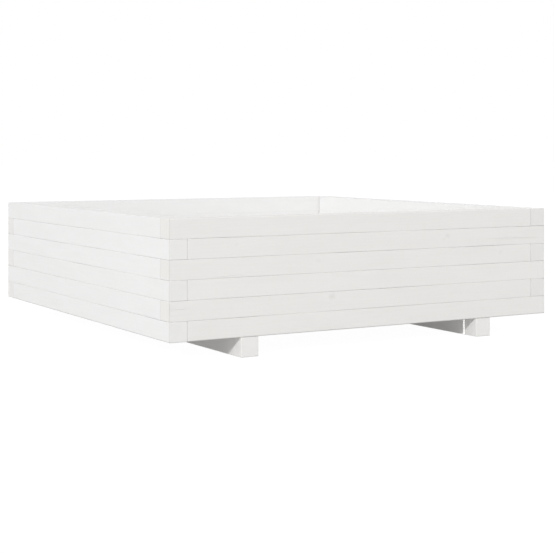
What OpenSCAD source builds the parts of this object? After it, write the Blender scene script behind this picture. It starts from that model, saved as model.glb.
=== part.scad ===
// Square floor planter: a low box of stacked timber battens on two runners.
// The origin is the middle of the base, where the runners stand. +X runs to the
// right along the front, +Y to the back and +Z up. Sizes are in millimetres.

/* [Box] */
// Outside length of each side of the square box
side_l = 900; // [800:10:1200]
// Number of battens stacked in each wall
courses = 6; // [3:1:8]

/* [Battens] */
// Thickness of a batten, which is the thickness of the wall
batten_t = 38; // [32:1:50]
// Height of a batten, which is the height of one course
batten_h = 38; // [32:1:50]
// Radius of the two long edges on the outer face of a batten
batten_edge_r = 1; // [0.5:0.5:4]

/* [Runners] */
// Width of a runner
runner_w = 38; // [32:1:60]
// Height of a runner, which is the air gap below the box
runner_h = 38; // [32:1:60]
// From the side of the box to the outer side of a runner
runner_inset = 150; // [80:1:200]
// Radius of a runner's long edges
runner_edge_r = 1; // [0.5:0.5:3]

/* [Floor] */
// Width of a floor slat
slat_w = 96; // [60:1:120]
// Thickness of a floor slat
slat_t = 18; // [12:1:30]
// Narrowest drain gap allowed between two slats
slat_gap_min = 5; // [4:0.5:15]
// Play between the end of a slat and the wall
slat_end_play = 2; // [0.5:0.5:5]
// Radius of a slat's long edges
slat_edge_r = 1; // [0.5:0.5:3]

/* [Wall and runner screws] */
// Shank diameter
screw_d = 5; // [3.5:0.5:6]
// Head diameter
screw_head_d = 9.5; // [8:0.5:12]
// Depth that a screw bites into the piece above
screw_bite = 26; // [18:1:28]
// Shift of the corner screws from the middle of the corner, in turn from course to course
corner_screw_shift = 8; // [5:0.5:10]
// Shift along the wall of the screws between the corners, in turn from course to course
wall_screw_shift = 25; // [10:1:40]

/* [Floor screws] */
// Shank diameter
floor_screw_d = 4; // [3:0.5:5]
// Head diameter
floor_screw_head_d = 8; // [6:0.5:9]
// Depth that a screw bites into the runner
floor_screw_bite = 22; // [15:1:28]

/* [Screw details] */
// Depth of every head below the face of the wood
head_sink = 0.5; // [0.1:0.1:2]
// Straight rim of a head above its countersink
head_rim = 0.6; // [0.2:0.1:1]
// Length of the point
point_l = 6; // [3:0.5:10]
// Radius of the blunt end of the point
point_r = 0.5; // [0.3:0.1:1]
// Width of the six-sided driver socket
socket_d = 3.8; // [2:0.1:5]
// Depth of the driver socket
socket_h = 2.2; // [1:0.1:3]
// Play between a screw and its hole
screw_play = 0.1; // [0.05:0.05:0.3]

/* [Hidden] */
WALLS = ["front", "right", "back", "left"];
PAINTED_WOOD = [0.93, 0.93, 0.92];
ZINC = [0.72, 0.73, 0.75];

// How far a hole starts outside the face that it opens in
CUT_PAST = 1;

half_l = side_l / 2;
inner_l = side_l - 2 * batten_t;
batten_l = side_l - batten_t;
wall_y = half_l - batten_t / 2;
runner_x = half_l - runner_inset - runner_w / 2;

slat_count = floor((inner_l + slat_gap_min) / (slat_w + slat_gap_min));
slat_gap = (inner_l - slat_count * slat_w) / (slat_count + 1);
slat_l = inner_l - 2 * slat_end_play;
floor_z = runner_h + slat_t;

wall_screw_l = batten_h + screw_bite - head_sink;
runner_screw_l = runner_h + screw_bite - head_sink;
floor_screw_l = slat_t + floor_screw_bite - head_sink;

// Courses count from the top, so the last one lies on the runners
function course_z(k) = runner_h + (courses - k) * batten_h;

function odd(k) = k % 2 == 1;

function turned(p, quarters) = [
    p.x * cos(90 * quarters) - p.y * sin(90 * quarters),
    p.x * sin(90 * quarters) + p.y * cos(90 * quarters)
];

// Joint j lies between courses j and j + 1, and its screws come up from course j + 1.
// The shift swaps sides from joint to joint, so a screw misses the one above it.
function shift_sign(j) = odd(j) ? 1 : -1;

function corner_screw_at(corner, j) = turned([
    -wall_y + shift_sign(j) * corner_screw_shift,
    -wall_y - shift_sign(j) * corner_screw_shift
], corner);

function wall_screws_at(w, j) = [
    for (side = [-1, 1])
        turned([side * (wall_y / 3 + shift_sign(j) * wall_screw_shift), -wall_y], w)
];

// Two screws, set diagonally, where a runner crosses the wall at its end
function runner_screws_at(side, end) = [
    for (d = [-1, 1]) [side * runner_x + d * runner_w / 4, end * wall_y + d * batten_t / 4]
];

function slat_y(i) = -inner_l / 2 + i * slat_gap + (i - 0.5) * slat_w;

function floor_screws_at(side, i) = [
    for (d = [-1, 1]) [side * runner_x, slat_y(i) + d * slat_w / 4]
];

// Section of a bar whose four edges are rounded
module round_section(w, h, r) {
    translate([0, r]) square([w, h - 2 * r]);
    translate([r, 0]) square([w - 2 * r, h]);
    for (x = [r, w - r], y = [r, h - r])
        translate([x, y]) circle(r = r, $fn = 32);
}

// Section of a batten, with its outer face at x = 0 and square inner edges
module batten_section() {
    r = batten_edge_r;
    translate([0, r]) square([batten_t, batten_h - 2 * r]);
    translate([r, 0]) square([batten_t - r, batten_h]);
    for (y = [r, batten_h - r])
        translate([r, y]) circle(r = r, $fn = 32);
}

// Countersunk screw that points up from its head at z = 0, or the hole for one
module screw_body(d, head_d, l, play = 0, mouth = 0) {
    r = d / 2 + play;
    head_r = head_d / 2 + play;
    rotate_extrude($fn = 48)
        polygon([
            [0, -mouth],
            [head_r, -mouth],
            [head_r, head_rim],
            [r, head_rim + head_r - r],
            [r, l - point_l],
            [point_r + play, l + play],
            [0, l + play]
        ]);
}

module screw(d, head_d, l) {
    difference() {
        screw_body(d, head_d, l);
        translate([0, 0, -CUT_PAST])
            cylinder(d = socket_d, h = socket_h + CUT_PAST, $fn = 6);
    }
}

module screw_hole(d, head_d, l) {
    screw_body(d, head_d, l, play = screw_play, mouth = head_sink + CUT_PAST);
}

// Raises its child from the underside of a piece at height z to the sunk head
module up_from(p, z) {
    translate([p.x, p.y, z + head_sink]) children();
}

// The same, for a screw that points down from the top of a piece
module down_from(p, z) {
    translate([p.x, p.y, z - head_sink]) rotate([180, 0, 0]) children();
}

// Odd courses stop short of the wall's right end and even ones of its left end,
// so each corner's joint is covered by the course above and below
module batten_bar(w, k) {
    start = odd(k) ? -half_l : -half_l + batten_t;
    rotate([0, 0, 90 * w])
        translate([start, -half_l, course_z(k)])
            rotate([90, 0, 90]) linear_extrude(height = batten_l) batten_section();
}

module batten(w, k) {
    corner = odd(k) ? w : w + 1;
    color(PAINTED_WOOD)
        difference() {
            batten_bar(w, k);
            for (j = [max(1, k - 1):min(courses - 1, k)]) {
                for (p = concat([corner_screw_at(corner, j)], wall_screws_at(w, j)))
                    up_from(p, course_z(j + 1)) screw_hole(screw_d, screw_head_d, wall_screw_l);
            }
            if (k == courses && w % 2 == 0) {
                for (side = [-1, 1], p = runner_screws_at(side, w == 0 ? -1 : 1))
                    up_from(p, 0) screw_hole(screw_d, screw_head_d, runner_screw_l);
            }
        }
}

module runner(side) {
    color(PAINTED_WOOD)
        difference() {
            translate([side * runner_x - runner_w / 2, half_l, 0])
                rotate([90, 0, 0]) linear_extrude(height = side_l)
                    round_section(runner_w, runner_h, runner_edge_r);
            for (end = [-1, 1], p = runner_screws_at(side, end))
                up_from(p, 0) screw_hole(screw_d, screw_head_d, runner_screw_l);
            for (i = [1:slat_count], p = floor_screws_at(side, i))
                down_from(p, floor_z)
                    screw_hole(floor_screw_d, floor_screw_head_d, floor_screw_l);
        }
}

module floor_slat(i) {
    color(PAINTED_WOOD)
        difference() {
            translate([-slat_l / 2, slat_y(i) - slat_w / 2, runner_h])
                rotate([90, 0, 90]) linear_extrude(height = slat_l)
                    round_section(slat_w, slat_t, slat_edge_r);
            for (side = [-1, 1], p = floor_screws_at(side, i))
                down_from(p, floor_z)
                    screw_hole(floor_screw_d, floor_screw_head_d, floor_screw_l);
        }
}

module corner_screws() {
    color(ZINC)
        for (corner = [0:3], j = [1:courses - 1])
            up_from(corner_screw_at(corner, j), course_z(j + 1))
                screw(screw_d, screw_head_d, wall_screw_l);
}

module wall_screws() {
    color(ZINC)
        for (w = [0:3], j = [1:courses - 1], p = wall_screws_at(w, j))
            up_from(p, course_z(j + 1)) screw(screw_d, screw_head_d, wall_screw_l);
}

module runner_screws() {
    color(ZINC)
        for (side = [-1, 1], end = [-1, 1], p = runner_screws_at(side, end))
            up_from(p, 0) screw(screw_d, screw_head_d, runner_screw_l);
}

module floor_screws() {
    color(ZINC)
        for (side = [-1, 1], i = [1:slat_count], p = floor_screws_at(side, i))
            down_from(p, floor_z) screw(floor_screw_d, floor_screw_head_d, floor_screw_l);
}

for (w = [0:3], k = [1:courses])
    batten(w, k);
runner(-1);  // left_runner
runner(1);  // right_runner
for (i = [1:slat_count])
    floor_slat(i);
corner_screws();
wall_screws();
runner_screws();
floor_screws();
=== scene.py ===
"""Dresses a low square timber planter: stacked pine battens under brushed white paint, on two runners.

Each batten, runner and floor slat is a timber bar grown by one Geometry Nodes tree, with eased edges, slight
waviness, its screw seats and its drying checks. The screws are set on those seats by a second tree. All
lengths are metres in the planter's own frame: +X to the right along the front, +Y to the back, +Z up.
"""

import logging
import math
import random
from dataclasses import dataclass, field, replace
from enum import Enum
from typing import TypeAlias

import bmesh
import bpy
from bmesh.types import BMesh, BMVert
from bpy.types import ID, Light, Material, Mesh, Node, NodeSocket, NodeTree, Object, World
from mathutils import Matrix, Vector


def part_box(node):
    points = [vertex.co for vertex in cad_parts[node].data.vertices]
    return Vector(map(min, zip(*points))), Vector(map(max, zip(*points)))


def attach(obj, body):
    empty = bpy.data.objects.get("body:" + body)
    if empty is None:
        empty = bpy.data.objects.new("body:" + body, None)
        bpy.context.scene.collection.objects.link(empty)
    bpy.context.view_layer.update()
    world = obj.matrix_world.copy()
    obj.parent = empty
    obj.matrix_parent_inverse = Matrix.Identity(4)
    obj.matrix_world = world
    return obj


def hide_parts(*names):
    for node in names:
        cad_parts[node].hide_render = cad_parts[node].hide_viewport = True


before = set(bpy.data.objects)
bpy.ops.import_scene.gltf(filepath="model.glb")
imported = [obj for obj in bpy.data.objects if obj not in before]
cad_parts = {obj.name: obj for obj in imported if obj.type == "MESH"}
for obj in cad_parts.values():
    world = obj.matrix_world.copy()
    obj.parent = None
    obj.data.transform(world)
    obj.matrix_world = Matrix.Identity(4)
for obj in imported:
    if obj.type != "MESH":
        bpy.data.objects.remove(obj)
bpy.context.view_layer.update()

MM = 0.001
BODY = "root"
KNOT_NAMES = ("timber_knot_1", "timber_knot_2", "timber_knot_3")
WHITE = (1.0, 1.0, 1.0, 1.0)

# Straight steps in an eased edge, and the depth in radii down to which a point belongs to it
EDGE_STEPS = 5
EDGE_REACH = 1.01

# Waves in a metre of timber, and what of each noise counts: from, to, and the shares of the waviness there
SLOW_WAVES = (5.0, 1.0, 1.0)
SLOW_RANGE = (0.3, 0.75, 0.0, 1.0)
FAST_WAVES = (30.0, 1.0, 3.0)
FAST_RANGE = (0.55, 0.8, 0.0, 0.6)

# The least that the normal of a flat face has along one axis
FLAT_LIMIT = 0.9965

# What most of a noise lies between, the least length to divide by, and the seed of the screws' turns
MIDDLE = (0.3, 0.7)
LEAST = 1e-6
SPIN_SEED = 7

Colour = tuple[float, float, float, float]
Triple = tuple[float, float, float]
Pair = tuple[float, float]
Feed: TypeAlias = "Flow | float | int | bool | str | Vector | tuple | ID"
Feeds: TypeAlias = dict[str | int, Feed]

log = logging.getLogger("planter")


class Wall(Enum):
    """A wall of the box, valued by its quarter turns from the front one."""

    FRONT = 0
    RIGHT = 1
    BACK = 2
    LEFT = 3


class Drive(Enum):
    """The way that a screw points, valued by the tilt that turns an upward screw that way."""

    UP = 0.0
    DOWN = math.pi


@dataclass(frozen=True)
class Knot:
    """A branch stub in the outer face of a bar.

    It has a place from the bar's start and lower edge, a radius, and how much of it shows through the paint.
    """

    along: float
    up: float
    radius: float
    show: float = 1.0


NO_KNOT = Knot(0.0, 0.0, 0.0, 0.0)


@dataclass(frozen=True)
class KnotChance:
    """What the knots of a bar are drawn from: how many, how far along and up it, their radius and show."""

    counts: tuple[int, ...]
    along: Pair
    up: Pair
    radius: Pair
    show: Pair | None = None

    def draw(self, node: str, size: Vector) -> list[Knot]:
        """Draws the knots of one bar.

        Args:
            node: The bar's name, which seeds the draw.
            size: The bar's length, depth and height.

        Returns:
            The knots.
        """
        dice = random.Random(f"{node} knots")
        knots = []
        for _ in range(dice.choice(self.counts)):
            along, up, radius = (dice.uniform(*span) for span in (self.along, self.up, self.radius))
            show = dice.uniform(*self.show) if self.show else 1.0
            knots.append(Knot(along * size.x, up * size.z, radius, show))
        return knots


@dataclass(frozen=True)
class Check:
    """A drying crack in the outer face of a bar, from its start to its end, each as (along, up).

    It is cut in steps. Each one strays from the straight line by up to the stray, and keeps a share of what
    the step before it strayed. It is open by a share of the width, which is largest at the middle and never
    below the least, times chance within the spread. What cuts it stands proud of the face.
    """

    start: Pair
    end: Pair
    width: float = 0.5 * MM
    depth: float = 1.5 * MM
    proud: float = 0.5 * MM
    step: float = 5 * MM
    fewest_steps: int = 6
    stray: float = 0.35 * MM
    stray_kept: float = 0.6
    least_open: float = 0.12
    open_at_start: float = 0.1
    spread: Pair = (0.7, 1.0)

    def shifted(self, by: float) -> "Check":
        """The same crack, moved along the bar."""
        return replace(self, start=(self.start[0] + by, self.start[1]), end=(self.end[0] + by, self.end[1]))


@dataclass(frozen=True)
class Placing:
    """Where a bar lies: the corner it starts from, and the wall that it runs along."""

    corner: Vector
    wall: Wall

    @property
    def turn(self) -> float:
        """Angle about Z, in radians."""
        return self.wall.value * math.pi / 2

    def matrix(self) -> Matrix:
        """The move from the bar's own frame (length, inward, up) into the planter's."""
        return Matrix.Translation(self.corner) @ Matrix.Rotation(self.turn, 4, "Z")


class Flow:
    """A number, vector, colour or shape that flows out of a node. Sums made with it add their own nodes."""

    def __init__(self, sheet: "Sheet", socket: NodeSocket) -> None:
        """Takes the sheet that it is on and the output socket that it comes from."""
        self.sheet, self.socket = sheet, socket

    def reckon(self, operation: str, *values: Feed) -> "Flow":
        """Adds a math node on up to three values, a vector one where this flow is a vector."""
        kind = self.sheet.vector if self.socket.type == "VECTOR" else self.sheet.math
        return kind(operation, *values)

    def __add__(self, other: Feed) -> "Flow":
        """This value plus another."""
        return self.reckon("ADD", self, other)

    def __sub__(self, other: Feed) -> "Flow":
        """This value less another."""
        return self.reckon("SUBTRACT", self, other)

    def __rsub__(self, other: Feed) -> "Flow":
        """Another value less this one."""
        return self.reckon("SUBTRACT", other, self)

    def __mul__(self, other: Feed) -> "Flow":
        """This value times another."""
        return self.reckon("MULTIPLY", self, other)

    def __truediv__(self, other: Feed) -> "Flow":
        """This value over another."""
        return self.reckon("DIVIDE", self, other)

    def __rtruediv__(self, other: Feed) -> "Flow":
        """Another value over this one."""
        return self.reckon("DIVIDE", other, self)

    def __lt__(self, other: Feed) -> "Flow":
        """1 where this number is below another, else 0."""
        return self.reckon("LESS_THAN", self, other)

    def __gt__(self, other: Feed) -> "Flow":
        """1 where this number is above another, else 0."""
        return self.reckon("GREATER_THAN", self, other)

    def __abs__(self) -> "Flow":
        """This value without its sign."""
        return self.reckon("ABSOLUTE", self)

    def at_least(self, other: Feed) -> "Flow":
        """The larger of two numbers."""
        return self.reckon("MAXIMUM", self, other)

    def at_most(self, other: Feed) -> "Flow":
        """The smaller of two numbers."""
        return self.reckon("MINIMUM", self, other)

    def held(self) -> "Flow":
        """This number, held between 0 and 1."""
        return self.sheet.add("ShaderNodeClamp", {0: self})

    def dot(self, other: Feed) -> "Flow":
        """The dot product of two vectors."""
        return self.sheet.vector("DOT_PRODUCT", self, other, out="Value")

    def length(self) -> "Flow":
        """The length of this vector."""
        return self.sheet.vector("LENGTH", self, out="Value")

    def axes(self) -> list["Flow"]:
        """The three numbers of this vector."""
        return [Flow(self.sheet, s) for s in self.sheet.node("ShaderNodeSeparateXYZ", {0: self}).outputs]

    def pick(self, off: Feed, on: Feed) -> "Flow":
        """The first value where this number is 0, and the second where it is 1."""
        return self.remap(0.0, 1.0, off, on, smooth=False)

    def remap(self, start: Feed, end: Feed, low: Feed = 0.0, high: Feed = 1.0,
              smooth: bool = True) -> "Flow":
        """Carries this number from start..end to low..high, held at both ends.

        Args:
            start: The number that gives low.
            end: The number that gives high.
            low: The result at start.
            high: The result at end.
            smooth: Whether the result eases in and out.

        Returns:
            The result.
        """
        kind = "SMOOTHSTEP" if smooth else "LINEAR"
        feeds = {0: self, 1: start, 2: end, 3: low, 4: high}
        return self.sheet.add("ShaderNodeMapRange", feeds, interpolation_type=kind)

    def noise(self, scale: float = 1.0, detail: float = 2.0, rough: float = 0.5,
              twist: float = 0.0) -> "Flow":
        """Reads a noise texture at this point. Its value is about 0.5 in the middle.

        Args:
            scale: Cells in one unit of the point.
            detail: Octaves added to the first.
            rough: The strength of each octave against the one before.
            twist: How far the noise is warped by itself.

        Returns:
            The noise.
        """
        feeds = {"Vector": self, "Scale": scale, "Detail": detail, "Roughness": rough, "Distortion": twist}
        return self.sheet.add("ShaderNodeTexNoise", feeds, noise_dimensions="3D")


class Sheet:
    """A node tree laid out by code."""

    def __init__(self, tree: NodeTree) -> None:
        """Takes the tree to be laid out."""
        self.tree = tree

    def feed(self, socket: NodeSocket, value: Feed) -> None:
        """Links a socket to a flow, or gives it a plain value.

        Args:
            socket: The input to be fed.
            value: A flow, or what the input's default is set to.
        """
        if isinstance(value, Flow):
            self.tree.links.new(value.socket, socket)
        else:
            socket.default_value = value

    def node(self, kind: str, feeds: Feeds | None = None, **settings: object) -> Node:
        """Adds a node.

        Args:
            kind: The node's type name.
            feeds: What goes into its sockets, by socket name or number.
            settings: Its properties.

        Returns:
            The new node.
        """
        node = self.tree.nodes.new(kind)
        for name, value in settings.items():
            setattr(node, name, value)
        for key, value in (feeds or {}).items():
            self.feed(node.inputs[key], value)
        return node

    def add(self, kind: str, feeds: Feeds | None = None, out: str | int = 0, **settings: object) -> Flow:
        """Adds a node, as node() does, and hands back what flows out of one of its sockets."""
        return Flow(self, self.node(kind, feeds, **settings).outputs[out])

    def math(self, operation: str, *values: Feed) -> Flow:
        """Adds a Math node on up to three numbers."""
        return self.add("ShaderNodeMath", dict(enumerate(values)), operation=operation)

    def vector(self, operation: str, *values: Feed, out: str | int = 0) -> Flow:
        """Adds a Vector Math node on up to three vectors."""
        return self.add("ShaderNodeVectorMath", dict(enumerate(values)), out, operation=operation)

    def join(self, x: Feed, y: Feed, z: Feed) -> Flow:
        """Makes a vector of three numbers."""
        return self.add("ShaderNodeCombineXYZ", {0: x, 1: y, 2: z})

    def mix_colour(self, share: Feed, first: Feed, second: Feed) -> Flow:
        """Mixes two colours by a share from 0, all the first, to 1, all the second."""
        return self.add("ShaderNodeMix", {0: share, 6: first, 7: second}, 2, data_type="RGBA")

    def surface(self, kind: str, feeds: Feeds, output: str = "ShaderNodeOutputMaterial") -> None:
        """Adds the last shader and feeds it to the output of the material, or of the world."""
        self.node(output, {"Surface": self.add(kind, feeds)})

    def stored(self, name: str) -> Flow:
        """Reads the vector that is stored on the mesh under a name."""
        return self.add("ShaderNodeAttribute", out="Vector", attribute_name=name)

    def group(self, tree: NodeTree, feeds: dict[str, Feed]) -> dict[str, Flow]:
        """Places a node group, fed by name, and hands back what flows out of it, by name."""
        node = self.node("ShaderNodeGroup", feeds, node_tree=tree)
        return {s.name: Flow(self, s) for s in node.outputs}


@dataclass(frozen=True)
class Tree:
    """A node group being laid out: its sheet, the flows from its inputs and the sockets of its outputs."""

    sheet: Sheet
    take: dict[str, Flow]
    give: dict[str, NodeSocket]

    def hand_out(self, results: dict[str, Flow]) -> NodeTree:
        """Feeds the outputs.

        Args:
            results: What each output gives, by name.

        Returns:
            The finished group.
        """
        for name, flow in results.items():
            self.sheet.feed(self.give[name], flow)
        return self.sheet.tree

    def hand_out_shape(self, name: str, shape: Flow) -> NodeTree:
        """Makes a shape real and gives it the material that is fed in as Finish.

        Args:
            name: The output that the shape goes to.
            shape: The shape.

        Returns:
            The finished group.
        """
        real = self.sheet.add("GeometryNodeRealizeInstances", {0: shape})
        finish = {"Geometry": real, "Material": self.take["Finish"]}
        return self.hand_out({name: self.sheet.add("GeometryNodeSetMaterial", finish)})


def new_tree(name: str, kind: str, inputs: dict[str, str], outputs: dict[str, str]) -> Tree:
    """Starts a node group with named sockets.

    Args:
        name: The group's name.
        kind: "GeometryNodeTree" or "ShaderNodeTree".
        inputs: Each input's name with its socket type, such as "Float".
        outputs: The same for the outputs.

    Returns:
        The group, ready to be laid out.
    """
    tree = bpy.data.node_groups.new(name, kind)
    for side, sockets in (("INPUT", inputs), ("OUTPUT", outputs)):
        for socket, value_type in sockets.items():
            tree.interface.new_socket(socket, in_out=side, socket_type=f"NodeSocket{value_type}")
    sheet = Sheet(tree)
    taken = {s.name: Flow(sheet, s) for s in tree.nodes.new("NodeGroupInput").outputs}
    given = {s.name: s for s in tree.nodes.new("NodeGroupOutput").inputs}
    return Tree(sheet, taken, given)


def blank_sheet(owner: Material | World) -> Sheet:
    """Clears the nodes of a material or a world.

    Args:
        owner: The material or world.

    Returns:
        Its empty sheet.
    """
    owner.use_nodes = True
    owner.node_tree.nodes.clear()
    return Sheet(owner.node_tree)


def grow(name: str, tree: NodeTree, values: dict[str, Feed]) -> Object:
    """Runs a Geometry Nodes tree once and keeps its result as a plain mesh.

    Args:
        name: The name of the new object.
        tree: The tree to be run.
        values: What its inputs are set to, by name.

    Returns:
        The object, at the origin, with no modifier left on it.
    """
    piece = link_object(name, bpy.data.meshes.new(name))
    modifier = piece.modifiers.new(name, "NODES")
    modifier.node_group = tree
    sockets = {s.name: s.identifier for s in tree.interface.items_tree if s.in_out == "INPUT"}
    for socket, value in values.items():
        modifier[sockets[socket]] = value
    depsgraph = bpy.context.evaluated_depsgraph_get()
    mesh = bpy.data.meshes.new_from_object(piece.evaluated_get(depsgraph), depsgraph=depsgraph)
    piece.modifiers.remove(modifier)
    mesh.name = name
    piece.data = mesh
    return piece


def stamp(mesh: Mesh, name: str, value: list[float] | tuple[float, ...]) -> None:
    """Stores one vector on every vertex of a mesh, for the finish to read."""
    stored = mesh.attributes.new(name, "FLOAT_VECTOR", "POINT")
    stored.data.foreach_set("vector", list(value) * len(mesh.vertices))


def link_object(name: str, data: ID) -> Object:
    """Makes an object and links it into the scene.

    Args:
        name: Its name.
        data: Its mesh, lamp or camera.

    Returns:
        The object.
    """
    made = bpy.data.objects.new(name, data)
    bpy.context.scene.collection.objects.link(made)
    return made


def drop(helper: Object) -> None:
    """Takes an object that only a tree reads, and its mesh, out of the file.

    Args:
        helper: The object.
    """
    mesh = helper.data
    bpy.data.objects.remove(helper)
    bpy.data.meshes.remove(mesh)


def to_mesh(shell: BMesh, name: str) -> Mesh:
    """Turns the faces of a closed shell outwards and makes a mesh of it.

    Args:
        shell: The shell, which is used up.
        name: The mesh's name.

    Returns:
        The mesh.
    """
    bmesh.ops.recalc_face_normals(shell, faces=shell.faces)
    mesh = bpy.data.meshes.new(name)
    shell.to_mesh(mesh)
    shell.free()
    return mesh


def add_ring(shell: BMesh, radii: list[float], height: float, place: Matrix) -> list[BMVert]:
    """Adds a ring of points round the Z axis.

    Args:
        shell: The mesh that takes them.
        radii: How far each one is from the axis, in the order of the turn.
        height: Their height.
        place: Where the ring goes.

    Returns:
        The points.
    """
    angles = [2 * math.pi * i / len(radii) for i in range(len(radii))]
    points = [Vector((r * math.cos(a), r * math.sin(a), height)) for r, a in zip(radii, angles)]
    return [shell.verts.new(place @ p) for p in points]


def close_rings(shell: BMesh, rings: list[list[BMVert]]) -> None:
    """Makes a closed solid of rings: a band of faces between each two, and a cap on the first and the last.

    Args:
        shell: The mesh that holds the rings.
        rings: The rings, each with as many points as the others.
    """
    for one, two in zip(rings, rings[1:]):
        for i in range(len(one)):
            j = (i + 1) % len(one)
            shell.faces.new((one[i], one[j], two[j], two[i]))
    shell.faces.new(rings[0])
    shell.faces.new(rings[-1])


@dataclass(frozen=True)
class ScrewKind:
    """The sizes of one kind of countersunk screw, with its head at the bottom and its point at the top."""

    shank: float
    head: float
    rim: float = 0.6 * MM
    point: float = 6 * MM
    tip: float = 0.5 * MM
    socket: float = 3.8 * MM
    socket_depth: float = 2.2 * MM
    sides: int = 24
    lobes: int = 6
    lobe_depth: float = 0.14
    play: float = 0.1 * MM
    mouth: float = 1.5 * MM
    hole_sides: int = 20

    def outline(self, length: float, play: float = 0.0, mouth: float = 0.0) -> list[Pair]:
        """Gives the outline of the screw, or of the hole for it.

        Args:
            length: From the head's face to the point.
            play: What the hole is wider by, all round.
            mouth: How far the hole runs on below the head.

        Returns:
            Points as (radius, height), from the head to the point.
        """
        shank = self.shank / 2 + play
        head = self.head / 2 + play
        return [
            (head, -mouth),
            (head, self.rim),
            (shank, self.rim + head - shank),
            (shank, length - self.point),
            (self.tip + play, length + play),
        ]

    def add_hole(self, shell: BMesh, length: float, place: Matrix) -> None:
        """Adds the solid that is cut out of the timber for a screw.

        Args:
            shell: The mesh that takes it.
            length: The screw's length.
            place: Where the screw goes.
        """
        outline = self.outline(length, self.play, self.mouth)
        close_rings(shell, [add_ring(shell, [r] * self.hole_sides, h, place) for r, h in outline])

    def screw_mesh(self, name: str, length: float) -> Mesh:
        """Makes the screw, with a lobed socket in its head.

        Args:
            name: The mesh's name.
            length: From the head's face to the point.

        Returns:
            The mesh, head down, with the middle of its head at the origin.
        """
        shell = bmesh.new()
        angles = [2 * math.pi * i / self.sides for i in range(self.sides)]
        lobed = [1 + self.lobe_depth * math.cos(self.lobes * a) for a in angles]
        socket = [self.socket / 2 * lobe / (1 + self.lobe_depth) for lobe in lobed]
        profile = [(socket, self.socket_depth), (socket, 0.0)]
        profile += [([radius] * self.sides, height) for radius, height in self.outline(length)]
        close_rings(shell, [add_ring(shell, radii, height, Matrix.Identity(4)) for radii, height in profile])
        return to_mesh(shell, name)


WALL_SCREW = ScrewKind(shank=5 * MM, head=9.5 * MM)
FLOOR_SCREW = ScrewKind(shank=4 * MM, head=8 * MM)


@dataclass(frozen=True)
class Seat:
    """Where one screw sits: the middle of its head's face, the way it points, its length and its kind."""

    head: Vector
    drive: Drive
    length: float
    kind: ScrewKind

    def matrix(self) -> Matrix:
        """The move that takes an upward screw from the origin to this seat."""
        return Matrix.Translation(self.head) @ Matrix.Rotation(self.drive.value, 4, "X")

    def reaches(self, low: Vector, high: Vector) -> bool:
        """Tells whether the screw enters a box.

        Args:
            low: The box's lowest corner.
            high: Its highest corner.

        Returns:
            True if some of the screw is inside the box.
        """
        end = self.head.z + self.length * (1 if self.drive is Drive.UP else -1)
        bottom, top = sorted((self.head.z, end))
        in_plan = low.x < self.head.x < high.x and low.y < self.head.y < high.y
        return in_plan and bottom < high.z and top > low.z


def find_seats(node: str, kind: ScrewKind, drive: Drive) -> list[Seat]:
    """Finds the screws of a CAD node, each as one loose part of its mesh.

    Args:
        node: The node's name.
        kind: The kind of screw that it holds.
        drive: The way that they point.

    Returns:
        One seat for each screw.
    """
    copy = bmesh.new()
    copy.from_mesh(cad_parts[node].data)
    bmesh.ops.remove_doubles(copy, verts=copy.verts, dist=0.01 * MM)
    left = set(copy.verts)
    seats = []
    while left:
        edge = [left.pop()]
        part = list(edge)
        while edge:
            near = {e.other_vert(v) for v in edge for e in v.link_edges} & left
            left -= near
            part += near
            edge = list(near)
        xs, ys, zs = ([v.co[axis] for v in part] for axis in range(3))
        z = min(zs) if drive is Drive.UP else max(zs)
        head = Vector(((min(xs) + max(xs)) / 2, (min(ys) + max(ys)) / 2, z))
        seats.append(Seat(head, drive, max(zs) - min(zs), kind))
    copy.free()
    return sorted(seats, key=lambda s: tuple(round(c, 5) for c in s.head))


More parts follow.
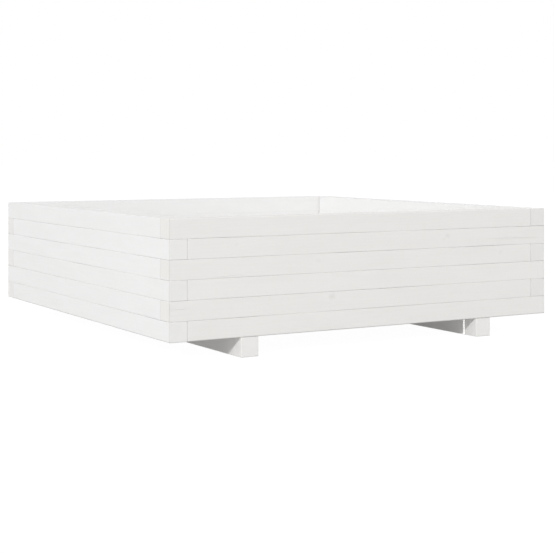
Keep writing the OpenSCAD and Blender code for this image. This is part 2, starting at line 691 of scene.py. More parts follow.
class TimberTree:
    """The tree that grows one timber bar from its section, length and marks.

    In its own frame a bar runs along X, its outer face is Y = 0 and it stands on Z = 0. Its long edges are
    rounded, its ends slightly eased, and its faces wander inward by up to the waviness, most on the outside.
    """

    NUMBERS = (
        "Length", "Thickness", "Height", "Outer Edge", "Inner Edge", "Lower Edge", "End Edge", "Flatness",
        "Lower Flatness", "Step", "Set Back", "Waviness", "Seed", "Turn",
    )

    def __init__(self) -> None:
        """Starts the tree."""
        others = {"Cuts": "Object", "Place": "Vector", "Finish": "Material"}
        inputs = dict.fromkeys(self.NUMBERS, "Float") | others
        self.tree = new_tree("timber bar", "GeometryNodeTree", inputs, {"Bar": "Geometry"})
        self.sheet, self.take = self.tree.sheet, self.tree.take
        self.position = self.sheet.add("GeometryNodeInputPosition")

    def move(self, shape: Flow, **feeds: Feed) -> Flow:
        """Sets a shape's points to a Position, or shifts them by an Offset, where a Selection tells to."""
        return self.sheet.add("GeometryNodeSetPosition", {"Geometry": shape, **feeds})

    def section(self) -> Flow:
        """Draws the section: a rectangle with filleted corners, whose outer ones are then planed flatter.

        Returns:
            The curve, with the outer face towards +X and the lower side towards +Y.
        """
        take = self.take
        box = {"Width": take["Thickness"], "Height": take["Height"]}
        rectangle = self.sheet.add("GeometryNodeCurvePrimitiveQuadrilateral", box)
        x, y, _ = self.position.axes()
        lower = y > 0.0
        outer_radius = lower.pick(take["Outer Edge"], take["Lower Edge"])
        radius = (x > 0.0).pick(take["Inner Edge"], outer_radius)
        corners = {"Curve": rectangle, "Radius": radius, "Count": EDGE_STEPS}
        rounded = self.sheet.add("GeometryNodeFilletCurve", corners, mode="POLY")
        outer_face = take["Thickness"] * 0.5
        depth = outer_face - x
        planed = outer_face - depth * lower.pick(take["Flatness"], take["Lower Flatness"])
        in_edge = depth < outer_radius * EDGE_REACH
        return self.move(rounded, Selection=in_edge, Position=self.sheet.join(planed, y, 0.0))

    def path(self) -> Flow:
        """Draws the line that the section is swept along, with a station at each end for the eased edge.

        Returns:
            The curve, through the middle of the bar.
        """
        length, end = self.take["Length"], self.take["End Edge"]
        count = self.sheet.math("CEIL", length / self.take["Step"]) + 3.0
        line = self.sheet.add("GeometryNodeCurvePrimitiveLine", {"End": (1.0, 0.0, 0.0)})
        stations = self.sheet.add("GeometryNodeResampleCurve", {"Curve": line, "Count": count})
        index = self.sheet.add("GeometryNodeInputIndex")
        last = count - 1.0
        inside = index.remap(1.0, last - 1.0, end, length - end, smooth=False)
        beyond = (index > last - 0.5) - (index < 0.5)
        half_thick, half_high = (self.take[name] * 0.5 for name in ("Thickness", "Height"))
        return self.move(stations, Position=self.sheet.join(inside + beyond * end, half_thick, half_high))

    def eased(self, bar: Flow) -> Flow:
        """Draws the two end faces in by the end edge, all round.

        Args:
            bar: The swept bar.

        Returns:
            The bar with eased ends.
        """
        length, end = self.take["Length"], self.take["End Edge"]
        x, y, z = self.position.axes()
        drawn = [
            p.at_most(size - end).at_least(end)
            for p, size in ((y, self.take["Thickness"]), (z, self.take["Height"]))
        ]
        on_end = x.at_most(length - x) < end * 0.5
        return self.move(bar, Selection=on_end, Position=self.sheet.join(x, *drawn))

    def planed(self, bar: Flow) -> Flow:
        """Sets the outer face back and lets it and both long edges waver along the bar.

        Args:
            bar: The eased bar.

        Returns:
            The bar with its faces as a plane and the weather leave them.
        """
        x, y, z = self.position.axes()
        outer_share = 1.0 - y / self.take["Thickness"]
        side = z / self.take["Height"] * 2.0 - 1.0
        at = self.sheet.join(x, self.sheet.math("SIGN", side), self.take["Seed"])
        slow = (at * SLOW_WAVES).noise(detail=1.0).remap(*SLOW_RANGE)
        fast = (at * FAST_WAVES).noise().remap(*FAST_RANGE)
        wander = (slow + fast) * self.take["Waviness"]
        inward = outer_share * (self.take["Set Back"] + wander)
        toward_core = side * outer_share * (wander * -1.0)
        return self.move(bar, Offset=self.sheet.join(0.0, inward, toward_core))

    def build(self) -> NodeTree:
        """Lays out the tree.

        Returns:
            The tree.
        """
        sheet, take = self.sheet, self.take
        sweep = {"Curve": self.path(), "Profile Curve": self.section(), "Fill Caps": True}
        timber = self.planed(self.eased(sheet.add("GeometryNodeCurveToMesh", sweep)))
        cuts = sheet.add("GeometryNodeObjectInfo", {"Object": take["Cuts"]}, "Geometry")
        drilled = sheet.add("GeometryNodeMeshBoolean", {"Mesh 1": timber, "Mesh 2": cuts},
                            operation="DIFFERENCE", solver="MANIFOLD")
        tilt = [abs(axis) for axis in sheet.add("GeometryNodeInputNormal").axes()]
        curved = tilt[0].at_least(tilt[1].at_least(tilt[2])) < FLAT_LIMIT
        shaded = sheet.add("GeometryNodeSetShadeSmooth", {"Geometry": drilled, "Shade Smooth": curved})
        mark = {"Geometry": shaded, "Name": "timber_at", "Value": self.position}
        marked = sheet.add("GeometryNodeStoreNamedAttribute", mark, data_type="FLOAT_VECTOR", domain="POINT")
        turn = sheet.join(0.0, 0.0, take["Turn"])
        move = {"Geometry": marked, "Translation": take["Place"], "Rotation": turn}
        return self.tree.hand_out_shape("Bar", sheet.add("GeometryNodeTransform", move))


def screw_tree() -> NodeTree:
    """Lays out the tree that sets a screw on each point of a seat mesh.

    Returns:
        The tree.
    """
    inputs = {"Seats": "Object", "Screw": "Object", "Tilt": "Float", "Finish": "Material"}
    tree = new_tree("screws on seats", "GeometryNodeTree", inputs, {"Screws": "Geometry"})
    sheet = tree.sheet
    seats, screw = (
        sheet.add("GeometryNodeObjectInfo", {"Object": tree.take[name]}, "Geometry")
        for name in ("Seats", "Screw")
    )
    turns = {2: 0.0, 3: 2 * math.pi, "Seed": SPIN_SEED}
    spin = sheet.add("FunctionNodeRandomValue", turns, 1, data_type="FLOAT")
    rotation = sheet.join(tree.take["Tilt"], 0.0, spin)
    return tree.hand_out_shape("Screws", sheet.add("GeometryNodeInstanceOnPoints", {
        "Points": seats, "Instance": screw, "Rotation": rotation,
    }))


@dataclass(frozen=True)
class KnotMask:
    """The mask of one knot: a branch that runs from the pith out through the bar's outer face.

    Reach is the share of the way from the pith to the face, and the ratio is that of a point's distance from
    the branch to the branch's girth there. The pair of a mask is where it goes from 0 to 1.
    """

    squeeze: Triple = (0.72, 1.0, 1.0)
    reach: Pair = (0.0, 1.3)
    girth: Pair = (0.15, 1.15)
    wobble_cells: float = 220.0
    wobble: Pair = (0.8, 1.25)
    outward: Pair = (0.02, 0.12)
    core: Pair = (1.25, 0.15)
    rim_ratio: float = 0.95
    rim: Pair = (0.28, 0.0)
    halo_ratio: float = 1.7
    halo: Pair = (0.7, 0.0)
    push: float = 1.6

    def build(self) -> NodeTree:
        """Lays out the group.

        Returns:
            The group. Its outputs are the knot's core, its rim, the pale halo round it, and the push that
            bends the growth rings round it.
        """
        inputs = {"At": "Vector", "Knot": "Vector", "Show": "Float", "Pith": "Vector"}
        outputs = dict.fromkeys(("Core", "Rim", "Halo", "Push"), "Float")
        tree = new_tree("pine knot", "ShaderNodeTree", inputs, outputs)
        sheet, at = tree.sheet, tree.take["At"]
        along, up, radius = tree.take["Knot"].axes()
        pith_y, pith_z, _ = tree.take["Pith"].axes()
        root = sheet.join(along, pith_y, pith_z)
        branch = sheet.join(along, 0.0, up) - root
        reach = (at - root).dot(branch) / branch.dot(branch).at_least(LEAST)
        off_axis = (at - root - branch * reach) * self.squeeze
        girth = (radius * reach.remap(*self.reach, *self.girth)).at_least(LEAST)
        wobble = at.noise(self.wobble_cells, 1.0).remap(*MIDDLE, *self.wobble)
        ratio = off_axis.length() / girth * wobble
        outward = reach.remap(*self.outward)
        seen = outward * tree.take["Show"]
        return tree.hand_out({
            "Core": ratio.remap(*self.core) * seen,
            "Rim": abs(ratio - self.rim_ratio).remap(*self.rim) * seen,
            "Halo": abs(ratio - self.halo_ratio).remap(*self.halo) * seen,
            "Push": 1.0 / (ratio * ratio + 1.0) * radius * self.push * outward,
        })


@dataclass(frozen=True)
class PineFigure:
    """The figure of pine: growth rings round a pith that runs nearly along the bar, and its fibres.

    Cells are the noise's cells in a metre along the bar, across it and up it. The rings stray to both sides
    with the bend, and each one darkens and then ends over the given shares of its width.
    """

    bend_cells: Triple = (3.5, 14.0, 14.0)
    bend: Pair = (0.2, 0.8)
    stray: float = 3.5 * MM
    darkens: Pair = (0.35, 0.9)
    ends: Pair = (1.0, 0.93)
    fibre_cells: Triple = (18.0, 900.0, 900.0)
    drift_cells: Triple = (7.0, 30.0, 30.0)

    def build(self) -> NodeTree:
        """Lays out the group.

        Returns:
            The group. Its outputs are the dark late wood of each ring, the fine fibres, and a slow drift of
            tone.
        """
        inputs = {"At": "Vector", "Pith": "Vector", "Push": "Float", "Seed": "Float", "Ring": "Float"}
        outputs = dict.fromkeys(("Late Wood", "Fibre", "Drift"), "Float")
        tree = new_tree("pine figure", "ShaderNodeTree", inputs, outputs)
        sheet, at = tree.sheet, tree.take["At"]
        x, y, z = at.axes()
        pith_y, pith_z, slope = tree.take["Pith"].axes()
        across = sheet.join(0.0, y - (pith_y + slope * x), z - pith_z)
        shifted = at + sheet.join(tree.take["Seed"], 0.0, 0.0)
        bend = (shifted * self.bend_cells).noise().remap(*self.bend, -self.stray, self.stray, smooth=False)
        ring = sheet.math("FRACT", (across.length() + bend - tree.take["Push"]) / tree.take["Ring"])
        return tree.hand_out({
            "Late Wood": ring.remap(*self.darkens) * ring.remap(*self.ends),
            "Fibre": (shifted * self.fibre_cells).noise(detail=3.0, rough=0.6),
            "Drift": (shifted * self.drift_cells).noise(),
        })


@dataclass(frozen=True)
class BrushMarks:
    """Paint put on with a brush along the bar. Cells are counted as in the figure of pine."""

    stroke_cells: Triple = (9.0, 420.0, 420.0)
    lap_cells: Triple = (11.0, 45.0, 45.0)

    def build(self) -> NodeTree:
        """Lays out the group.

        Returns:
            The group. Its outputs are the height of the brush ridges and the thickness of the film, each 0
            to 1.
        """
        outputs = {"Ridge": "Float", "Film": "Float"}
        tree = new_tree("brushed paint", "ShaderNodeTree", {"At": "Vector", "Seed": "Float"}, outputs)
        shifted = tree.take["At"] + tree.sheet.join(tree.take["Seed"], 0.0, 0.0)
        return tree.hand_out({
            "Ridge": (shifted * self.stroke_cells).noise(detail=3.0, rough=0.55, twist=0.3),
            "Film": (shifted * self.lap_cells).noise(detail=3.0),
        })


@dataclass(frozen=True)
class BarEdges:
    """Where a bar's edges and ends are.

    Each pair in millimetres is the distance over which a mask goes from 0 to 1. The width of the thin paint
    along the edges varies by the nibble, as its noise goes over the nibbled range.
    """

    nibble_cells: float = 160.0
    nibbled: Pair = (0.35, 0.75)
    nibble: Pair = (0.2, 1.6)
    ends: Pair = (2.6 * MM, 0.8 * MM)
    # By the inner face: painted shade in the upright joints and in the inner corners of the box
    inside: Pair = (3.0 * MM, 1.0 * MM)
    # By the outer face: painted shade along the corner arris
    outside: Pair = (1.6 * MM, 1.1 * MM)
    # Up from the lower edge and in from the outer face: painted shade under the bottom edge
    low: Pair = (2.6 * MM, 1.2 * MM)
    front: Pair = (5.0 * MM, 4.0 * MM)

    def build(self) -> NodeTree:
        """Lays out the group.

        Returns:
            The group. Its outputs, each 0 to 1, are the thin paint along the edges, the start and the end,
            where the end grain and the butt joints' painted shade go, and where more painted shade goes: the
            outer and the inner arris of the end that laps a corner, the inner arris of the other end, which
            lies in the corner inside the box, and the lower outer edge.
        """
        inputs = {"At": "Vector", "Size": "Vector", "Width": "Float", "Lap": "Float"}
        outputs = dict.fromkeys(("Edge", "Start", "End", "Corner", "Upright", "Inside", "Under"), "Float")
        tree = new_tree("bar edges", "ShaderNodeTree", inputs, outputs)
        at, size = tree.take["At"].axes(), tree.take["Size"].axes()
        x, y, z = (p.at_most(s - p) for p, s in zip(at, size))
        lowest = x.at_most(y.at_most(z))
        highest = x.at_least(y.at_least(z))
        middle = x + (y + z) - lowest - highest
        nibble = tree.take["At"].noise(self.nibble_cells, 3.0, 0.6).remap(*self.nibbled, *self.nibble)
        start = at[0].remap(*self.ends)
        end = (size[0] - at[0]).remap(*self.ends)
        inside = (size[1] - at[1]).remap(*self.inside)
        laps_at_start = tree.take["Lap"] < -0.5
        laps_at_end = tree.take["Lap"] > 0.5
        lap = start * laps_at_start + end * laps_at_end
        return tree.hand_out({
            "Edge": middle.remap(tree.take["Width"] * nibble, 0.0),
            "Start": start,
            "End": end,
            # Painted shade along the outer corner arris of the lapped end
            "Corner": at[1].remap(*self.outside) * lap,
            # Painted shade in the upright joint by the lapped end's inner arris
            "Upright": inside * lap,
            # Painted shade in the inner corner of the box
            "Inside": inside * (start * laps_at_end + end * laps_at_start),
            # Painted shade under the bottom edge
            "Under": at[2].remap(*self.low) * at[1].remap(*self.front),
        })


@dataclass(frozen=True)
class PaintedPine:
    """White paint brushed over planed pine, thin enough for the knots and a little of the figure to show.

    What shows is the share of the wood's own colour that each mark brings through the paint. The marks at
    the corner arris, the upright joints, the inner corners, the butt joints and the lower outer edge are
    painted shade, mixed in the same way. Heights are shares of the relief's depth.
    """

    name: str
    paint: Colour = (0.895, 0.896, 0.895, 1.0)
    warm_paint: Colour = (0.895, 0.886, 0.87, 1.0)
    under: Colour = (0.46, 0.43, 0.39, 1.0)
    drift_show: Pair = (-0.01, 0.015)
    knot_show: float = 0.14
    rim_show: float = 0.05
    halo_show: float = -0.0125
    late_show: float = 0.014
    fibre_show: float = 0.012
    film_show: float = 0.014
    edge_show: float = 0.02
    # Painted shade at the corner arris, in the upright joints and in the inner corners
    corner_show: float = 0.25
    upright_shade: float = 0.09
    inside_shade: float = 0.5
    fibres: Pair = (0.35, 0.75)
    thin_film: Pair = (0.6, 0.3)
    edge_width: float = 3.0 * MM
    end_warmth: float = 0.6
    roughness: float = 0.78
    gloss_drift: float = 0.12
    end_roughness: float = 0.15
    gloss: float = 0.05
    relief: float = 0.5
    depth: float = 0.12 * MM
    ridge_height: float = 0.6
    late_height: float = 0.5
    fibre_height: float = 0.35
    knot_height: float = 0.8
    ring: float = 3.2 * MM

    def build(self, groups: dict[str, NodeTree]) -> Material:
        """Builds the material.

        Args:
            groups: The shared node groups, by name.

        Returns:
            The material.
        """
        material = bpy.data.materials.new(self.name)
        sheet = blank_sheet(material)
        at, size, pith = (sheet.stored(name) for name in ("timber_at", "timber_size", "timber_pith"))
        seed, warmth, tone = sheet.stored("timber_tone").axes()
        start_grain_and_shade, end_grain_and_shade, lap = sheet.stored("timber_ends").axes()
        under_show = sheet.stored("timber_under").axes()[0]
        knots = [
            sheet.group(groups["knot"], {"At": at, "Knot": sheet.stored(name), "Show": show, "Pith": pith})
            for name, show in zip(KNOT_NAMES, sheet.stored("timber_knot_shows").axes())
        ]
        knot = {name: sum((other[name] for other in knots[1:]), first) for name, first in knots[0].items()}
        figure = sheet.group(groups["figure"], {
            "At": at, "Pith": pith, "Push": knot["Push"], "Seed": seed, "Ring": self.ring,
        })
        brush = sheet.group(groups["brush"], {"At": at, "Seed": seed})
        edges = sheet.group(groups["edges"], {"At": at, "Size": size, "Width": self.edge_width, "Lap": lap})
        late, fibre, film = figure["Late Wood"], figure["Fibre"], brush["Film"]
        # Marks and their strengths: corner, upright, inside, under and the butt ends are painted shade
        shows = (
            (knot["Core"], self.knot_show),
            (knot["Rim"], self.rim_show),
            (knot["Halo"], self.halo_show),
            (late, self.late_show),
            (fibre.remap(*self.fibres), self.fibre_show),
            (film.remap(*self.thin_film), self.film_show),
            (edges["Edge"], self.edge_show),
            (edges["Start"], start_grain_and_shade),
            (edges["End"], end_grain_and_shade),
            (edges["Corner"], self.corner_show),
            (edges["Upright"], self.upright_shade),
            (edges["Inside"], self.inside_shade),
            (edges["Under"], under_show),
        )
        show = figure["Drift"].remap(*MIDDLE, *self.drift_show)
        for mask, strength in shows:
            show = mask * strength + show
        end = edges["Start"] + edges["End"]
        paint = sheet.mix_colour((end * self.end_warmth + warmth).held(), self.paint, self.warm_paint)
        colour = sheet.mix_colour((show + tone).held(), paint, self.under)
        rough = film.remap(*MIDDLE, self.roughness + self.gloss_drift, self.roughness - self.gloss_drift / 2)
        height = brush["Ridge"] * self.ridge_height + late * self.late_height + fibre * self.fibre_height
        height = height + knot["Core"] * self.knot_height
        bump = {"Strength": self.relief, "Distance": self.depth, "Height": height}
        sheet.surface("ShaderNodeBsdfPrincipled", {
            "Base Color": colour, "Roughness": (end * self.end_roughness + rough).held(),
            "Normal": sheet.add("ShaderNodeBump", bump), "Specular IOR Level": self.gloss,
        })
        return material


@dataclass(frozen=True)
class ZincPlate:
    """Bright zinc plating on steel screws, slightly clouded."""

    name: str
    bright: Colour = (0.74, 0.75, 0.77, 1.0)
    dull: Colour = (0.52, 0.53, 0.54, 1.0)
    roughness: Pair = (0.26, 0.5)
    cloud_cells: float = 900.0
    clouds: Pair = (0.35, 0.7)
    grain_cells: float = 4000.0
    relief: float = 0.25
    depth: float = 0.05 * MM

    def build(self) -> Material:
        """Builds the material.

        Returns:
            The material.
        """
        material = bpy.data.materials.new(self.name)
        sheet = blank_sheet(material)
        at = sheet.add("ShaderNodeTexCoord", out="Object")
        clouds = at.noise(self.cloud_cells, 3.0, 0.6).remap(*self.clouds)
        bump = {"Strength": self.relief, "Distance": self.depth, "Height": at.noise(self.grain_cells)}
        sheet.surface("ShaderNodeBsdfPrincipled", {
            "Base Color": sheet.mix_colour(clouds, self.bright, self.dull), "Metallic": 1.0,
            "Roughness": clouds.pick(*self.roughness), "Normal": sheet.add("ShaderNodeBump", bump),
        })
        return material


@dataclass
class Timber:
    """Everything that turns a CAD bar into a planed, drilled and painted one.

    Chance gives each bar its set back, its seeds, the place and slope of its pith and the drift of its tone.
    """

    tree: NodeTree
    seats: list[Seat]
    outer_edge: float = 1.6 * MM
    inner_edge: float = 0.1 * MM
    end_edge: float = 1.0 * MM
    flatness: float = 0.28
    step: float = 7.0 * MM
    waviness: float = 0.26 * MM
    most_set_back: float = 0.3 * MM
    most_seed: float = 90.0
    most_tone_seed: float = 40.0
    pith_depth: Pair = (0.02, 0.07)
    pith_past: float = 0.03
    pith_slope: Pair = (-0.012, 0.012)
    tone_drift: Pair = (-0.008, 0.01)
    butt_gap: float = 0.15 * MM
    # Painted shade along the lower outer edge of a bar that is given a lower edge
    under_show: float = 0.24

    def cuts(self, name: str, place: Placing, checks: list[Check]) -> Object:
        """Makes the solids that are cut out of one bar: its screw holes and its drying checks.

        Args:
            name: The bar's CAD node.
            place: Where the bar lies.
            checks: Its drying checks.

        Returns:
            An object that holds them, in the bar's own frame.
        """
        shell = bmesh.new()
        into_bar = place.matrix().inverted()
        low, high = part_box(name)
        for seat in self.seats:
            if seat.reaches(low, high):
                seat.kind.add_hole(shell, seat.length, into_bar @ seat.matrix())
        for check in checks:
            self.wedge(shell, check, random.Random(f"{name} {check.start}"))
        return link_object(f"{name} cuts", to_mesh(shell, f"{name} cuts"))

    def wedge(self, shell: BMesh, check: Check, dice: random.Random) -> None:
        """Adds the wedge of a drying check, which wavers along the grain and narrows towards its ends.

        Args:
            shell: The mesh that takes the wedge.
            check: The check.
            dice: The source of its wavering.
        """
        run, rise = check.end[0] - check.start[0], check.end[1] - check.start[1]
        steps = max(check.fewest_steps, round(abs(run) / check.step))
        rings = []
        waver = 0.0
        for i in range(steps + 1):
            share = i / steps
            waver = check.stray_kept * waver + dice.uniform(-check.stray, check.stray)
            along, up = check.start[0] + run * share, check.start[1] + rise * share + waver
            opening = math.pi * min(1.0, share * (1 - check.open_at_start) + check.open_at_start)
            open_by = max(check.least_open, math.sin(opening) ** 0.5)
            half = check.width * open_by * dice.uniform(*check.spread) * (0.5 + check.proud / check.depth)
            points = ((-check.proud, up - half), (-check.proud, up + half), (check.depth * open_by, up))
            rings.append([shell.verts.new((along, *point)) for point in points])
        close_rings(shell, rings)

    def bar(self, node: str, place: Placing, size: Vector, finish: Material, slot: str,
            warmth: float = 0.0, knots: list[Knot] | None = None, checks: list[Check] | None = None,
            edges: Pair | None = None, lower_edge: float | None = None, trim: float = 0.0,
            thin: float = 0.0, end_grain_and_shade: Pair = (0.03, 0.03)) -> Object:
        """Makes one bar in place of its CAD node.

        Args:
            node: The CAD node.
            place: Where the bar lies.
            size: Its length, its depth from the outer face, and its height.
            finish: Its material.
            slot: The name of a slot for that material. Not used.
            warmth: How warm its white is, 0 to 1.
            knots: Its knots, at most three.
            checks: Its drying checks.
            edges: The radius of its outer and inner long edges, where they aren't the usual ones.
            lower_edge: The radius of its lower outer edge, where it is fully round, with painted shade along
                it.
            trim: What is left off at the end that butts against a neighbour, negative at the bar's start.
            thin: How much of the wood's colour is mixed into its white all over, which darkens it a little.
            end_grain_and_shade: End grain tone at its start and end, and painted shade at a butt end.

        Returns:
            The finished bar.
        """
        dice = random.Random(node)
        outer, inner = edges or (self.outer_edge, self.inner_edge)
        start = Vector((max(0.0, -trim), 0.0, 0.0))
        length = size.x - abs(trim)
        lies = Placing(place.matrix() @ start, place.wall)
        cuts = self.cuts(node, lies, [check.shifted(-start.x) for check in checks or []])
        piece = grow(f"{node}_timber", self.tree, {
            "Length": length, "Thickness": size.y, "Height": size.z,
            "Outer Edge": outer, "Inner Edge": inner, "Lower Edge": lower_edge or outer,
            "End Edge": self.end_edge, "Step": self.step,
            "Flatness": self.flatness, "Lower Flatness": 1.0 if lower_edge else self.flatness,
            "Set Back": dice.uniform(0.0, self.most_set_back), "Waviness": self.waviness,
            "Seed": dice.uniform(0.0, self.most_seed), "Cuts": cuts,
            "Place": lies.corner, "Turn": lies.turn, "Finish": finish,
        })
        drop(cuts)
        pith_up = (-self.pith_past, size.z + self.pith_past)
        marks = ((knots or []) + [NO_KNOT] * len(KNOT_NAMES))[:len(KNOT_NAMES)]
        stamps = {
            "timber_size": (length, size.y, size.z),
            "timber_pith": [dice.uniform(*span) for span in (self.pith_depth, pith_up, self.pith_slope)],
            "timber_tone": (
                dice.uniform(0.0, self.most_tone_seed), warmth, thin + dice.uniform(*self.tone_drift),
            ),
            "timber_ends": (*end_grain_and_shade, math.copysign(1.0, -trim) if trim else 0.0),
            "timber_under": (self.under_show if lower_edge else 0.0, 0.0, 0.0),
            "timber_knot_shows": [knot.show for knot in marks],
        }
        for name, knot in zip(KNOT_NAMES, marks):
            stamps[name] = (knot.along - start.x, knot.up, knot.radius)
        for name, value in stamps.items():
            stamp(piece.data, name, value)
        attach(piece, BODY)
        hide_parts(node)
        return piece


def lie_of(node: str, wall: Wall) -> tuple[Placing, Vector]:
    """Finds how a CAD bar lies, as one that runs along a wall.

    Args:
        node: The bar's CAD node.
        wall: The wall that it runs along.

    Returns:
        Its placing, and its length, depth and height.
    """
    low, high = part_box(node)
    span = high - low
    corner_x = high.x if wall in (Wall.RIGHT, Wall.BACK) else low.x
    corner_y = high.y if wall in (Wall.BACK, Wall.LEFT) else low.y
    size = Vector((span.y, span.x, span.z)) if wall in (Wall.RIGHT, Wall.LEFT) else span
    return Placing(Vector((corner_x, corner_y, low.z)), wall), size


def report(pieces: list[Object]) -> None:
    """Logs the size of each piece in faces."""
    for piece in pieces:
        log.info("%s: %d faces", piece.name, len(piece.data.polygons))


@dataclass
class BattenWalls:
    """The four walls: courses of battens that lap each other in turn at the corners, course 1 on top.

    Chance knots are drawn for the walls that the photograph doesn't show.
    """

    timber: Timber
    finish: Material
    slot: str = "painted_pine"
    courses: int = 6
    front_warmth: float = 1.0
    side_warmth: float = 0.0
    thin: float = 0.066
    bottom_edge: float = 2.0 * MM
    chance: KnotChance = KnotChance((0, 0, 1, 1, 2), (0.08, 0.92), (0.2, 0.8), (3 * MM, 5.5 * MM), (0.2, 1.0))
    # How dark the butt ends are: painted shade beside the joints
    butt_shades: dict[Wall, float] = field(default_factory=lambda: {
        Wall.FRONT: 0.03, Wall.RIGHT: 0.2, Wall.BACK: 0.2, Wall.LEFT: 0.2,
    })
    lap_shows: dict[Wall, float] = field(default_factory=lambda: {
        Wall.FRONT: 0.06, Wall.RIGHT: 0.06, Wall.BACK: 0.06, Wall.LEFT: 0.0,
    })
    knots: dict[str, list[Knot]] = field(default_factory=lambda: {
        "front_batten_5": [Knot(354 * MM, 29 * MM, 5.5 * MM)],
        "front_batten_2": [
            Knot(599 * MM, 25 * MM, 4.5 * MM, 0.9), Knot(591 * MM, 18 * MM, 3.5 * MM, 0.45),
            Knot(102 * MM, 24 * MM, 3.0 * MM, 0.35),
        ],
        "front_batten_3": [Knot(778 * MM, 23 * MM, 4.0 * MM, 0.45), Knot(322 * MM, 24 * MM, 4.0 * MM, 0.45)],
        "left_batten_1": [Knot(690 * MM, 19 * MM, 3.0 * MM, 0.3)],
        "left_batten_4": [Knot(560 * MM, 12 * MM, 3.0 * MM, 0.3)],
    })
    checks: dict[str, list[Check]] = field(default_factory=lambda: {
        "front_batten_5": [Check((0.0, 22.6 * MM), (44 * MM, 23.9 * MM))],
        "front_batten_2": [Check((707 * MM, 15.1 * MM), (861 * MM, 13.2 * MM))],
        "front_batten_3": [
            Check((80 * MM, 0.8 * MM), (161 * MM, 6.3 * MM), 0.35 * MM),
            Check((832 * MM, 2.8 * MM), (856 * MM, 1.9 * MM), 0.8 * MM),
        ],
    })

    def batten(self, wall: Wall, course: int) -> Object:
        """Builds one batten.

        Args:
            wall: Its wall.
            course: Its course, 1 on top.

        Returns:
            The batten.
        """
        node = f"{wall.name.lower()}_batten_{course}"
        place, size = lie_of(node, wall)
        ends = (self.lap_shows[wall], self.butt_shades[wall])
        odd = course % 2 == 1
        shown = wall in (Wall.FRONT, Wall.LEFT)
        return self.timber.bar(
            node, place, size, self.finish, self.slot,
            warmth=self.front_warmth if wall is Wall.FRONT else self.side_warmth,
            thin=self.thin,
            knots=self.knots.get(node) if shown else self.chance.draw(node, size),
            checks=self.checks.get(node),
            lower_edge=self.bottom_edge if course == self.courses else None,
            trim=self.timber.butt_gap if odd else -self.timber.butt_gap,
            end_grain_and_shade=ends if odd else ends[::-1],
        )

    def build(self) -> list[Object]:
        """Builds every batten."""
        return [self.batten(wall, course) for wall in Wall for course in range(1, self.courses + 1)]


@dataclass
class Runners:
    """The two runners that lift the box off the ground, each with one knot."""

    timber: Timber
    finish: Material
    slot: str = "painted_pine"
    nodes: tuple[str, str] = ("left_runner", "right_runner")
    edge: float = 1.0 * MM
    warmth: float = 1.0
    knot_along: float = 310 * MM
    knot_radius: float = 3 * MM

    def build(self) -> list[Object]:
        """Builds both runners.

        Returns:
            The runners.
        """
        pieces = []
        for node in self.nodes:
            place, size = lie_of(node, Wall.RIGHT)
            pieces.append(self.timber.bar(
                node, place, size, self.finish, self.slot, warmth=self.warmth, edges=(self.edge, self.edge),
                knots=[Knot(self.knot_along, 0.5 * size.z, self.knot_radius)],
            ))
        return pieces


@dataclass
class SlatFloor:
    """The floor slats, laid left to right on the runners with drain gaps between them."""

    timber: Timber
    finish: Material
    slot: str = "floor_pine"
    edge: float = 1.0 * MM
    chance: KnotChance = KnotChance((1, 2, 3), (0.06, 0.94), (0.3, 0.7), (3 * MM, 6 * MM))

    def build(self) -> list[Object]:
        """Builds every slat.

        Returns:
            The slats.
        """
        pieces = []
        for node in sorted(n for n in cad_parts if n.startswith("floor_slat_")):
            place, size = lie_of(node, Wall.FRONT)
            pieces.append(self.timber.bar(
                node, place, size, self.finish, self.slot, edges=(self.edge, self.edge),
                knots=self.chance.draw(node, size),
            ))
        return pieces


@dataclass
class Fasteners:
    """All screws, set on the seats that the CAD gives."""

    tree: NodeTree
    finish: Material
    seats: dict[str, list[Seat]]
    slot: str = "screw_zinc"

    def build(self) -> list[Object]:
        """Builds one piece for each group of screws.

        Returns:
            The pieces.
        """
        pieces = []
        for node, seats in self.seats.items():
            first = seats[0]
            points = bpy.data.meshes.new(f"{node} seats")
            points.from_pydata([s.head for s in seats], [], [])
            at = link_object(f"{node} seats", points)
            screw = link_object(f"{node} screw", first.kind.screw_mesh(f"{node} screw", first.length))
            piece = grow(f"{node}_zinc", self.tree, {
                "Seats": at, "Screw": screw, "Tilt": first.drive.value, "Finish": self.finish,
            })
            drop(at)
            drop(screw)
            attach(piece, BODY)
            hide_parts(node)
            pieces.append(piece)
        return pieces


def hang(name: str, data: Light, place: Triple, target: Triple = (0, 0, 0)) -> Object:
    """Hangs a lamp.

    Args:
        name: Its name.
        data: Its light.
        place: Where it hangs.
        target: What it points at.

    Returns:
        The lamp.
    """
    lamp = link_object(f"{name}_lamp", data)
    lamp.location = place
    lamp.rotation_euler = (Vector(place) - Vector(target)).to_track_quat("Z", "Y").to_euler()
    return lamp


@dataclass(frozen=True)
class Lamp:
    """A soft round lamp that faces the planter: its name, place, power in watts and diameter."""

    name: str
    place: Triple
    power: float
    size: float

    def build(self) -> None:
        """Hangs the lamp, facing the origin."""
        data = bpy.data.lights.new(f"{self.name}_lamp", "AREA")
        data.shape = "DISK"
        data.energy = self.power
        data.size = self.size
        hang(self.name, data, self.place)


@dataclass(frozen=True)
class Beam:
    """A flat, narrow beam: its name, place, what it points at, power in watts, and its height and width."""

    name: str
    place: Triple
    target: Triple
    power: float
    height: float = math.radians(14.0)
    width: float = math.radians(0.7)
    size: float = 1 * MM
    soft_edge: float = 0.1

    def build(self) -> None:
        """Hangs the lamp, squeezed to the beam's width."""
        data = bpy.data.lights.new(f"{self.name}_lamp", "SPOT")
        data.energy = self.power
        data.spot_size = self.height
        data.spot_blend = self.soft_edge
        data.shadow_soft_size = self.size
        lamp = hang(self.name, data, self.place, self.target)
        lamp.scale = (self.width / self.height, 1.0, 1.0)


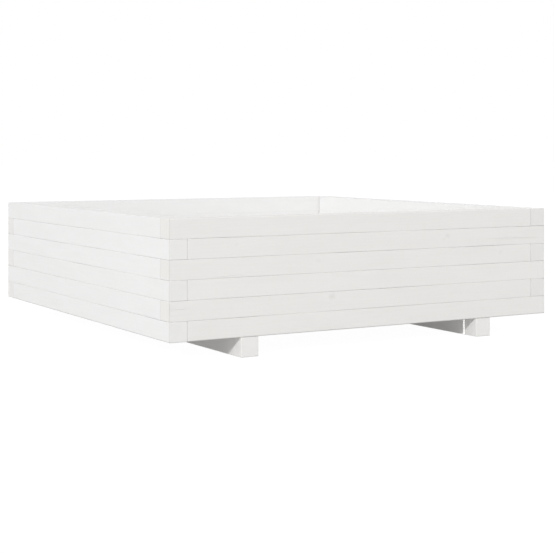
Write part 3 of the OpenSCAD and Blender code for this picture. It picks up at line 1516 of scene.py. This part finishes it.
@dataclass
class Studio:
    """A pale floor, a white surround, the lamps and the camera at the photograph's place.

    The beam starts inside the box and comes down through the drain gap at the front wall. It draws the
    bright line on the right runner.
    """

    eye: Vector = field(default_factory=lambda: Vector((-1.50114, -2.65133, 0.39206)))
    heading: float = -30.167
    lens: float = 86.31
    rise: float = -0.2291
    floor_size: float = 60.0
    floor_grey: float = 0.4
    table_glow: float = 0.173
    backdrop_glow: float = 0.97
    backdrop_catch: float = 0.065
    low_sky: float = 0.93
    high_sky: float = 0.65
    lamps: tuple[Lamp | Beam, ...] = (
        Lamp("key", (-11.0, -7.8, 5.6), 832.0, 1.3),
        Lamp("front", (3.2, -7.6, 3.6), 30.0, 4.0),
        Lamp("fill", (6.5, 5.5, 1.5), 110.0, 4.0),
        Beam("gap", (-0.153, -0.409, 0.25), (0.262, -0.409, 0.019), 6.0),
    )

    def build(self) -> None:
        """Builds the floor, the surround, the lamps and the camera."""
        self.build_floor()
        self.build_surround()
        for lamp in self.lamps:
            lamp.build()
        self.build_camera()
        bpy.context.scene.view_settings.view_transform = "Standard"

    def plain_rays(self, sheet: Sheet) -> Flow:
        """Tells camera, mirror and see-through rays, which see the white backdrop, from those that light.

        Args:
            sheet: The material's sheet.

        Returns:
            1 for a ray that sees the backdrop, else 0.
        """
        camera, mirror, through = (
            sheet.add("ShaderNodeLightPath", out=f"Is {ray} Ray")
            for ray in ("Camera", "Glossy", "Transmission")
        )
        return camera.at_least(mirror).at_least(through)

    def glowing(self, sheet: Sheet, grey: float, glow: float) -> Flow:
        """Makes a matt grey surface that also glows white.

        Args:
            sheet: The material's sheet.
            grey: The share of light that it throws back.
            glow: The strength of its own light.

        Returns:
            The shader.
        """
        matt = sheet.add("ShaderNodeBsdfDiffuse", {"Color": (grey, grey, grey, 1.0)})
        light = sheet.add("ShaderNodeEmission", {"Color": WHITE, "Strength": glow})
        return sheet.add("ShaderNodeAddShader", {0: matt, 1: light})

    def build_floor(self) -> None:
        """Lays the floor, white to the camera, with the planter's soft shadow on it."""
        half = self.floor_size / 2
        mesh = bpy.data.meshes.new("studio_floor")
        corners = [(-half, -half, 0), (half, -half, 0), (half, half, 0), (-half, half, 0)]
        mesh.from_pydata(corners, [], [(0, 1, 2, 3)])
        material = bpy.data.materials.new("studio_floor")
        sheet = blank_sheet(material)
        table = self.glowing(sheet, self.floor_grey, self.table_glow)
        backdrop = self.glowing(sheet, self.backdrop_catch, self.backdrop_glow)
        sheet.surface("ShaderNodeMixShader", {0: self.plain_rays(sheet), 1: table, 2: backdrop})
        mesh.materials.append(material)
        link_object("studio_floor", mesh)

    def build_surround(self) -> None:
        """Makes the world: plain white to the camera, and for the light a soft sky, dimmer overhead."""
        world = bpy.data.worlds.new("studio")
        sheet = blank_sheet(world)
        steepness = sheet.add("ShaderNodeTexCoord", out="Generated").axes()[2]
        light = steepness.pick(self.low_sky, self.high_sky)
        sky = sheet.add("ShaderNodeBackground", {"Color": WHITE, "Strength": light})
        white = sheet.add("ShaderNodeBackground", {"Color": WHITE, "Strength": 1.0})
        seen = {0: self.plain_rays(sheet), 1: sky, 2: white}
        sheet.surface("ShaderNodeMixShader", seen, "ShaderNodeOutputWorld")
        bpy.context.scene.world = world

    def build_camera(self) -> None:
        """Sets the camera level at the photograph's place, with the planter low in its frame."""
        data = bpy.data.cameras.new("camera")
        data.lens = self.lens
        data.shift_y = self.rise
        camera = link_object("camera", data)
        camera.location = self.eye
        camera.rotation_euler = (math.pi / 2, 0.0, math.radians(self.heading))
        bpy.context.scene.camera = camera


def main() -> None:
    """Builds the studio and the planter."""
    logging.basicConfig(level=logging.INFO, format="%(name)s: %(message)s")
    Studio().build()
    shared = {"knot": KnotMask(), "figure": PineFigure(), "brush": BrushMarks(), "edges": BarEdges()}
    groups = {name: group.build() for name, group in shared.items()}
    painted = PaintedPine("painted_pine").build(groups)
    floor = PaintedPine("floor_pine", late_show=0.05, fibre_show=0.04, film_show=0.04).build(groups)
    zinc = ZincPlate("screw_zinc").build()
    upward = ("corner_screws", "wall_screws", "runner_screws")
    seats = {node: find_seats(node, WALL_SCREW, Drive.UP) for node in upward}
    seats["floor_screws"] = find_seats("floor_screws", FLOOR_SCREW, Drive.DOWN)
    timber = Timber(TimberTree().build(), [s for group in seats.values() for s in group])
    report(BattenWalls(timber, painted).build())
    report(Runners(timber, painted).build())
    report(SlatFloor(timber, floor).build())
    report(Fasteners(screw_tree(), zinc, seats).build())


if __name__ == "__main__":
    main()
